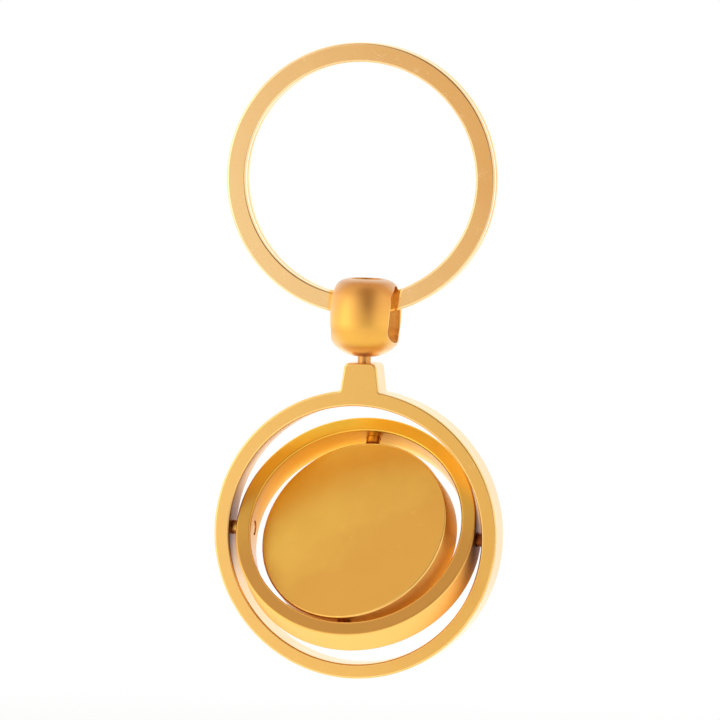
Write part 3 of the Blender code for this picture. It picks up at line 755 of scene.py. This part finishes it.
def put(tree, kind, settings=None, **sources):
    """A node in a tree, with its settings; a source is another node's output or a plain value."""
    node = tree.nodes.new(kind)
    for key, value in (settings or {}).items():
        setattr(node, key, value)
    for key, source in sources.items():
        label = int(key[1:]) if key[0] == "n" and key[1:].isdigit() else key.replace("_", " ")
        feed(tree, node.inputs[label], source)
    return node


def feed(tree, socket, source):
    """Joins an output to an input, or writes a plain value into it."""
    if isinstance(source, bpy.types.NodeSocket):
        tree.links.new(source, socket)
    else:
        socket.default_value = source


def maths(tree, operation, a, b=0.0, clamp=False):
    """A Math node's output."""
    return put(tree, "ShaderNodeMath", {"operation": operation, "use_clamp": clamp}, n0=a, n1=b).outputs[0]


def blend(tree, factor, a, b):
    """A Mix node's colour output."""
    node = tree.nodes.new("ShaderNodeMix")
    node.data_type = "RGBA"
    feed(tree, node.inputs[0], factor)
    feed(tree, node.inputs[6], a)
    feed(tree, node.inputs[7], b)
    return node.outputs[2]


def in_millimetres(tree, place):
    """A place in metres turned into millimetres, which suits the textures."""
    return put(tree, "ShaderNodeVectorMath", {"operation": "SCALE"}, n0=place, Scale=1000.0).outputs[0]


def soft_step(tree, value, low, high, top=1.0):
    """0 up to a low value, rising softly to its top at a high one."""
    return put(tree, "ShaderNodeMapRange", {"interpolation_type": "SMOOTHSTEP"}, Value=value, From_Min=low,
               From_Max=high, To_Max=top).outputs["Result"]


def make_satin_grain():
    """Fine blasted grain under plating: a height for the bump and a slow patchiness for the shine."""
    group, given, out = new_group(
        "satin_grain",
        [("Position", "Vector", None), ("Grains per mm", "Float", 9.0), ("Softness", "Float", 0.5)],
        [("Height", "Float"), ("Patches", "Float")])
    millimetres = in_millimetres(group, given.outputs["Position"])
    fine = put(group, "ShaderNodeTexNoise", None, Vector=millimetres, Scale=given.outputs["Grains per mm"],
               Detail=3.0, Roughness=given.outputs["Softness"])
    coarse_scale = maths(group, "MULTIPLY", given.outputs["Grains per mm"], 0.31)
    coarse = put(group, "ShaderNodeTexNoise", None, Vector=millimetres, Scale=coarse_scale, Detail=2.0)
    slow = put(group, "ShaderNodeTexNoise", None, Vector=millimetres, Scale=0.32, Detail=3.0, Roughness=0.55)
    height = maths(group, "ADD", maths(group, "MULTIPLY", fine.outputs["Fac"], 0.65),
                   maths(group, "MULTIPLY", coarse.outputs["Fac"], 0.35))
    feed(group, out.inputs["Height"], height)
    feed(group, out.inputs["Patches"], soft_step(group, slow.outputs["Fac"], 0.32, 0.68))
    return group


def make_handling_scratches():
    """Sparse hairline scratches that run mostly one way, as a mask."""
    group, given, out = new_group(
        "handling_scratches",
        [("Position", "Vector", None), ("Along", "Vector", (0.1, 1.0, 1.0)), ("Turn", "Vector", (0.0, 0.0, 0.0)),
         ("Fineness", "Float", 3.0), ("Rarity", "Float", 0.66)],
        [("Mask", "Float")])
    millimetres = in_millimetres(group, given.outputs["Position"])
    rotated = put(group, "ShaderNodeVectorRotate", {"rotation_type": "EULER_XYZ"}, Vector=millimetres,
                  Rotation=given.outputs["Turn"]).outputs[0]
    drawn = put(group, "ShaderNodeVectorMath", {"operation": "MULTIPLY"}, n0=rotated,
                n1=given.outputs["Along"]).outputs[0]
    lines = put(group, "ShaderNodeTexNoise", None, Vector=drawn, Scale=given.outputs["Fineness"], Detail=2.0,
                Roughness=0.4)
    breaks = put(group, "ShaderNodeTexNoise", None, Vector=millimetres, Scale=0.7, Detail=1.0)
    ridge = maths(group, "SUBTRACT", 1.0, maths(
        group, "MULTIPLY", maths(group, "ABSOLUTE", maths(group, "SUBTRACT", lines.outputs["Fac"], 0.5)), 26.0), True)
    rarity = given.outputs["Rarity"]
    gate = soft_step(group, breaks.outputs["Fac"], rarity, maths(group, "ADD", rarity, 0.12))
    feed(group, out.inputs["Mask"], maths(group, "MULTIPLY", ridge, gate, True))
    return group


def make_rubbed_edge():
    """Where an edge is rubbed bright: the piece's own edge mask, broken up along its length."""
    group, given, out = new_group(
        "rubbed_edge",
        [("Position", "Vector", None), ("Edge", "Float", 0.0), ("Evenness", "Float", 0.6)],
        [("Mask", "Float")])
    millimetres = in_millimetres(group, given.outputs["Position"])
    breaks = put(group, "ShaderNodeTexNoise", None, Vector=millimetres, Scale=1.1, Detail=3.0, Roughness=0.6)
    even = maths(group, "ADD", breaks.outputs["Fac"], given.outputs["Evenness"])
    feed(group, out.inputs["Mask"], maths(group, "MULTIPLY", given.outputs["Edge"],
                                          maths(group, "SUBTRACT", even, 0.3, True), True))
    return group


def make_plating_and_shade():
    """The plating's colour: a clear tone and a deeper one, mixed slowly, with painted shade as a lean across one
    direction.
    """
    group, given, out = new_group(
        "plating_tone_and_shade",
        [("Position", "Vector", None), ("Clear", "Color", None), ("Deep", "Color", None),
         ("Middle", "Vector", (0.0, 0.0, 0.0)), ("Towards deep", "Vector", (0.0, 0.0, -1.0)),
         ("Across", "Float", 0.0), ("Balance", "Float", 0.5), ("Mottle", "Float", 0.35)],
        [("Colour", "Color")])
    from_middle = put(group, "ShaderNodeVectorMath", {"operation": "SUBTRACT"}, n0=given.outputs["Position"],
                      n1=given.outputs["Middle"]).outputs[0]
    millimetres = in_millimetres(group, from_middle)
    cloud = put(group, "ShaderNodeTexNoise", None, Vector=millimetres, Scale=0.22, Detail=4.0, Roughness=0.6)
    # Painted shade: the tone leans towards deep across one direction
    lean = put(group, "ShaderNodeVectorMath", {"operation": "DOT_PRODUCT"}, n0=millimetres,
               n1=given.outputs["Towards deep"]).outputs["Value"]
    across = maths(group, "MULTIPLY", lean, given.outputs["Across"])
    mottle = maths(group, "MULTIPLY", maths(group, "SUBTRACT", cloud.outputs["Fac"], 0.5), given.outputs["Mottle"])
    share = maths(group, "ADD", maths(group, "ADD", across, mottle), given.outputs["Balance"], True)
    feed(group, out.inputs["Colour"], blend(group, share, given.outputs["Clear"], given.outputs["Deep"]))
    return group


GRAIN = make_satin_grain()
SCRATCHES = make_handling_scratches()
RUBBED = make_rubbed_edge()
PLATING_AND_SHADE = make_plating_and_shade()

# What every finish shares: the tones it turns to, and how much rubbing and scratches lighten and smooth it
# Tone of the painted sheen on surfaces seen edge-on
EDGE_ON_SHEEN_TONE = tone(255, 228, 194)
# Tone of the painted reflection of the disc's edge
WARM_TONE = tone(240, 172, 12)
# Tone of the painted shade
PAINTED_SHADE_TONE = tone(136, 72, 32)
EDGE_ON_FULL = 0.95
RUBBED_LIGHTER, SCRATCHED_LIGHTER = 0.45, 0.25
RUBBED_SMOOTHER, SCRATCHED_SMOOTHER = 0.7, 0.5
PATCHY_SHINE = 0.05
INSIDE_ROUGHER = 0.2
SCRATCH_DEPTH = 0.5
BUMP_STRENGTH = 0.55


def gold_finish(name, clear, deep, bright, shine, grain, scratch, spread, pale=0.8, inner=(255, 214, 128),
                pale_from=0.45):
    """A gold plated finish.

    clear and deep are the plating's two tones, bright is its rubbed edges' tone, shine is the roughness
    of its flats and of its rubbed places, grain is the grains per millimetre and the bump's depth in
    metres, and scratch is how rare the scratches are, their fineness and the way they run. spread is
    where the deep tone gathers: the piece's middle, the way towards deep, its rate per millimetre and
    its share in the middle; that lean towards one side is painted shade. pale is how much a surface seen
    edge-on turns to cream, a painted sheen, and pale_from how far it has to turn away before it does.
    inner is the tone of the painted reflection where gold faces gold, and of the painted bounce light
    inside the bead. The piece's own masks say where that is (inside), where it is rubbed (edge), where a
    painted reflection of the disc's edge turns it deep orange (warm) and where painted shade darkens it."""
    material = bpy.data.materials.new(name)
    material.use_nodes = True
    tree = material.node_tree
    tree.nodes.clear()
    place = put(tree, "ShaderNodeTexCoord").outputs["Object"]
    edge, inside, warm, painted_shade = (put(tree, "ShaderNodeAttribute", {"attribute_name": mask}).outputs["Fac"]
                                 for mask in ("edge", "inside", "warm", "painted_shade"))

    middle, towards, across, balance = spread
    plating = put(tree, "ShaderNodeGroup", {"node_tree": PLATING_AND_SHADE}, Position=place, Clear=tone(*clear),
                  Deep=tone(*deep), Middle=middle, Across=across, Balance=balance)
    plating.inputs["Towards deep"].default_value = towards
    facing = put(tree, "ShaderNodeLayerWeight", None, Blend=0.5).outputs["Facing"]
    # Painted sheen: a surface seen edge-on turns to cream
    grazing_sheen = soft_step(tree, facing, pale_from, EDGE_ON_FULL, pale)
    rubbed = put(tree, "ShaderNodeGroup", {"node_tree": RUBBED}, Position=place, Edge=edge).outputs["Mask"]
    texture = put(tree, "ShaderNodeGroup", {"node_tree": GRAIN}, Position=place)
    texture.inputs["Grains per mm"].default_value = grain[0]
    rarity, fineness, along, turn = scratch
    scratches = put(tree, "ShaderNodeGroup", {"node_tree": SCRATCHES}, Position=place, Along=along, Turn=turn,
                    Fineness=fineness, Rarity=rarity).outputs["Mask"]

    def worn(rubbed_share, scratched_share):
        """How far rubbing and scratches together change a place."""
        return maths(tree, "ADD", maths(tree, "MULTIPLY", rubbed, rubbed_share),
                     maths(tree, "MULTIPLY", scratches, scratched_share), True)

    light_share = worn(RUBBED_LIGHTER, SCRATCHED_LIGHTER)
    base = blend(tree, light_share, plating.outputs["Colour"], tone(*bright))
    base = blend(tree, grazing_sheen, base, EDGE_ON_SHEEN_TONE)
    # Painted reflection and painted bounce light turn the base to the inner tone
    base = blend(tree, inside, base, tone(*inner))
    # Painted reflection of the disc's edge turns the base deep orange
    base = blend(tree, warm, base, WARM_TONE)
    # Painted shade darkens the base where the piece's shade mask says
    base = blend(tree, painted_shade, base, PAINTED_SHADE_TONE)
    rough, polished = shine
    patches = maths(tree, "MULTIPLY", texture.outputs["Patches"], PATCHY_SHINE)
    patchy = maths(tree, "ADD", patches, rough - PATCHY_SHINE / 2)
    span = maths(tree, "MULTIPLY", worn(RUBBED_SMOOTHER, SCRATCHED_SMOOTHER), polished - rough)
    rougher = maths(tree, "MULTIPLY", inside, INSIDE_ROUGHER)
    roughness = maths(tree, "ADD", maths(tree, "ADD", patchy, span), rougher, True)
    cut = maths(tree, "SUBTRACT", texture.outputs["Height"], maths(tree, "MULTIPLY", scratches, SCRATCH_DEPTH))
    bump = put(tree, "ShaderNodeBump", None, Height=cut, Strength=BUMP_STRENGTH, Distance=grain[1])
    shader = put(tree, "ShaderNodeBsdfPrincipled", None, Roughness=roughness, Metallic=1.0,
                 Normal=bump.outputs["Normal"])
    feed(tree, shader.inputs["Base Color"], base)
    out = put(tree, "ShaderNodeOutputMaterial")
    tree.links.new(shader.outputs[0], out.inputs["Surface"])
    return material


RING_MIDDLE = (0, 0, RING_CENTRE_Z)
BEAD_MIDDLE = (SWIVEL_OFFSET, 0, WAIST_Z)
GIMBAL_MIDDLE = (SWIVEL_OFFSET, 0, GIMBAL_CENTRE_Z)
FINISHES = {
    "split_ring": gold_finish("split_ring_polished_gold", (244, 204, 142), (222, 166, 96), (255, 226, 178),
                              (0.24, 0.14), (7.0, 0.000004), (0.56, 2.2, (0.12, 1.0, 1.0), (0.0, 0.0, 0.6)),
                              (RING_MIDDLE, (0.9, 0, 0.45), 0.028, 0.5), 1.0, (255, 190, 84), 0.3),
    "bead": gold_finish("bead_satin_gold", (244, 190, 84), (218, 148, 84), (255, 222, 160),
                        (0.38, 0.28), (11.0, 0.000006), (0.68, 3.0, (1.0, 1.0, 0.15), (0.0, 0.0, 0.0)),
                        (BEAD_MIDDLE, (0.15, -0.3, 1.0), 0.11, 0.2), pale_from=0.2),
    "outer_ring": gold_finish("outer_ring_satin_gold", (234, 186, 106), (221, 169, 84), (255, 220, 150),
                              (0.36, 0.22), (11.0, 0.000006), (0.66, 2.6, (1.0, 1.0, 0.12), (0.0, 0.5, 0.0)),
                              (GIMBAL_MIDDLE, (1.0, 0, 0), 0.03, 0.45)),
    "inner_ring": gold_finish("inner_ring_satin_gold", (252, 212, 80), (215, 157, 79), (246, 190, 90),
                              (0.32, 0.30), (11.0, 0.000005), (0.66, 2.6, (1.0, 1.0, 0.12), (0.0, -0.4, 0.0)),
                              (GIMBAL_MIDDLE, (0.05, 0, -1.0), 0.06, 0.85), 0.3, (252, 198, 108)),
    "disc": gold_finish("disc_satin_gold", (244, 204, 92), (212, 157, 72), (252, 204, 112),
                        (0.38, 0.20), (11.0, 0.000006), (0.66, 2.6, (0.12, 1.0, 1.0), (0.0, 0.35, 0.0)),
                        (GIMBAL_MIDDLE, (0.6, 0, -0.8), 0.055, 0.88), 0.0),
    "rivet": gold_finish("rivet_dark_gold", (220, 160, 90), (186, 126, 64), (236, 180, 104),
                         (0.30, 0.20), (9.0, 0.000004), (0.62, 3.0, (1.0, 1.0, 0.2), (0.0, 0.0, 0.0)),
                         (GIMBAL_MIDDLE, (0, 0, -1.0), 0.0, 0.4), 0.4),
    "pin": gold_finish("pin_gold", (246, 196, 104), (224, 168, 84), (250, 200, 120),
                       (0.30, 0.20), (9.0, 0.000004), (0.62, 3.0, (1.0, 1.0, 0.2), (0.0, 0.0, 0.0)),
                       (GIMBAL_MIDDLE, (0, 0, -1.0), 0.0, 0.4), 0.4),
}

# The pieces in place: each stands for its node, rides on its body, lists its slot and takes its finish
pieces = [
    (build_split_ring(), "split_ring", "split_ring", "polished_gold", "split_ring"),
    (build_bead(), "swivel_bead", "bead", "satin_gold", "bead"),
    (build_rivet(), "swivel_rivet", "outer_frame", "dark_gold", "rivet"),
    (build_outer_ring(), "outer_ring", "outer_frame", "satin_gold", "outer_ring"),
    (build_inner_ring(), "inner_ring", "inner_frame", "satin_gold", "inner_ring"),
    (build_disc(), "disc", "spinner", "satin_gold", "disc"),
]
for node, pin in build_pins().items():
    body = "outer_frame" if node.startswith("outer") else "spinner"
    pieces.append((pin, node, body, "dark_gold", "pin"))
for piece, node, body, slot, finish in pieces:
    piece.data.materials.clear()
    piece.data.materials.append(FINISHES[finish])
    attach(piece, body)
    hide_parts(node)


# Studio

FLOOR_Z = -0.105
FLOOR_CLEAR_RADIUS = 0.16
FLOOR_RADIUS = 0.34
FLOOR_STEPS = 96
FLOOR_SEEN_LIFT = 0.06
FLOOR_MIRRORED_LIFT = 0.45
OBJECT_MIDDLE = Vector((0.0004, 0, -0.03286))

# The surroundings' light, how much of it reaches dull surfaces, and its darker places: azimuth and elevation,
# the angles at which each is full and gone, and its colour
SURROUND_LIGHT = 1.25
SURROUND_DULL_SHARE = 0.85
SURROUND_PLACES = (
    ((-10, 5), (20, 75), (1.06, 1.06, 1.06, 1)),
    ((15, 49), (8, 38), (0.50, 0.40, 0.32, 1)),
    ((16, -16), (4, 30), (0.80, 0.75, 0.72, 1)),
    ((16, 18), (6, 27), (0.20, 0.11, 0.06, 1)),
)

LAMP_BEARING, LAMP_DISTANCE = (-50, 0), 0.30
LAMP_SIZE, LAMP_POWER = (0.20, 0.30), 0.16

# The photo's camera, in degrees and millimetres, and the photo's pixels to the metre
CAMERA_BEARING, CAMERA_ROLL = (10.45, 3.8), 1.9
CAMERA_LENS, CAMERA_SENSOR = 400, 36
PHOTO_PIXELS, PIXELS_PER_METRE = 720, 9070


def bearing(azimuth, elevation):
    """A direction from the object: azimuth 0 is the front, 90 the right; both in degrees."""
    a, e = radians(azimuth), radians(elevation)
    return Vector((sin(a) * cos(e), -cos(a) * cos(e), sin(e)))


def build_floor():
    """A plain pale round floor well below the hanging keyring, which keeps its shadow and fades to white."""
    material = bpy.data.materials.new("studio_floor_white")
    material.use_nodes = True
    tree = material.node_tree
    tree.nodes.clear()
    path = put(tree, "ShaderNodeLightPath")
    place = put(tree, "ShaderNodeTexCoord").outputs["Object"]
    reach = put(tree, "ShaderNodeVectorMath", {"operation": "LENGTH"}, n0=place).outputs["Value"]
    fade = soft_step(tree, reach, FLOOR_CLEAR_RADIUS, FLOOR_RADIUS)
    pale = put(tree, "ShaderNodeBsdfDiffuse", None, Color=(0.92, 0.92, 0.92, 1))
    seen = maths(tree, "MULTIPLY", path.outputs["Is Camera Ray"], FLOOR_SEEN_LIFT)
    mirrored = maths(tree, "MULTIPLY", path.outputs["Is Glossy Ray"], FLOOR_MIRRORED_LIFT)
    lift = put(tree, "ShaderNodeEmission", None, Color=(1, 1, 1, 1), Strength=maths(tree, "ADD", seen, mirrored))
    both = put(tree, "ShaderNodeAddShader", None, n0=pale.outputs[0], n1=lift.outputs[0])
    white = put(tree, "ShaderNodeEmission", None, Color=(1, 1, 1, 1), Strength=1.0)
    shown = put(tree, "ShaderNodeMixShader", None, n0=fade, n1=both.outputs[0], n2=white.outputs[0])
    out = put(tree, "ShaderNodeOutputMaterial")
    tree.links.new(shown.outputs[0], out.inputs["Surface"])
    mesh = bpy.data.meshes.new("studio_floor")
    shell = bmesh.new()
    bmesh.ops.create_circle(shell, cap_ends=True, segments=FLOOR_STEPS, radius=FLOOR_RADIUS)
    shell.to_mesh(mesh)
    shell.free()
    mesh.materials.append(material)
    floor = bpy.data.objects.new("studio_floor", mesh)
    bpy.context.scene.collection.objects.link(floor)
    floor.location = (0, 0, FLOOR_Z)


def build_surround():
    """White surroundings with a few softly darker places at the front, which the gold mirrors."""
    world = bpy.data.worlds.new("studio_surround")
    bpy.context.scene.world = world
    world.use_nodes = True
    tree = world.node_tree
    tree.nodes.clear()
    path = put(tree, "ShaderNodeLightPath")
    direction = put(tree, "ShaderNodeTexCoord").outputs["Generated"]

    def patch(towards, inner, outer):
        """1 within an angle of a direction, 0 beyond a wider one, in degrees."""
        near = put(tree, "ShaderNodeVectorMath", {"operation": "DOT_PRODUCT"}, n0=direction, n1=towards)
        return soft_step(tree, near.outputs["Value"], cos(radians(outer)), cos(radians(inner)))

    around = (SURROUND_LIGHT, SURROUND_LIGHT, SURROUND_LIGHT, 1)
    for towards, angles, colour in SURROUND_PLACES:
        around = blend(tree, patch(bearing(*towards), *angles), around, colour)
    shown = blend(tree, path.outputs["Is Camera Ray"], around, (1.0, 1.0, 1.0, 1))
    white = maths(tree, "ADD", path.outputs["Is Camera Ray"], path.outputs["Is Glossy Ray"], True)
    white = maths(tree, "ADD", white, path.outputs["Is Transmission Ray"], True)
    extra = maths(tree, "MULTIPLY", white, 1 - SURROUND_DULL_SHARE)
    strength = maths(tree, "ADD", extra, SURROUND_DULL_SHARE)
    background = put(tree, "ShaderNodeBackground", None, Color=shown, Strength=strength)
    out = put(tree, "ShaderNodeOutputWorld")
    tree.links.new(background.outputs[0], out.inputs["Surface"])


def build_lamp():
    """The one soft lamp, a rectangle at the left."""
    lamp = bpy.data.lights.new("softbox_left", "AREA")
    lamp.shape = "RECTANGLE"
    lamp.size, lamp.size_y = LAMP_SIZE
    lamp.energy = LAMP_POWER
    box = bpy.data.objects.new("softbox_left", lamp)
    bpy.context.scene.collection.objects.link(box)
    box.visible_camera = False
    box.location = OBJECT_MIDDLE + LAMP_DISTANCE * bearing(*LAMP_BEARING)
    box.rotation_euler = (OBJECT_MIDDLE - box.location).to_track_quat("-Z", "Y").to_euler()


def build_camera():
    """The photo's camera: a long lens a little to the right of the front and a little above."""
    lens = bpy.data.cameras.new("photo_camera")
    lens.lens = CAMERA_LENS
    lens.sensor_width = CAMERA_SENSOR
    lens.clip_end = 20
    camera = bpy.data.objects.new("photo_camera", lens)
    bpy.context.scene.collection.objects.link(camera)
    away = bearing(*CAMERA_BEARING)
    distance = PHOTO_PIXELS * CAMERA_LENS / CAMERA_SENSOR / PIXELS_PER_METRE
    camera.matrix_world = (Matrix.Translation(OBJECT_MIDDLE + away * distance)
                           @ away.to_track_quat("Z", "Y").to_matrix().to_4x4()
                           @ Matrix.Rotation(radians(CAMERA_ROLL), 4, "Z"))
    bpy.context.scene.camera = camera


build_floor()
build_surround()
build_lamp()
build_camera()
bpy.context.scene.view_settings.view_transform = "Standard"
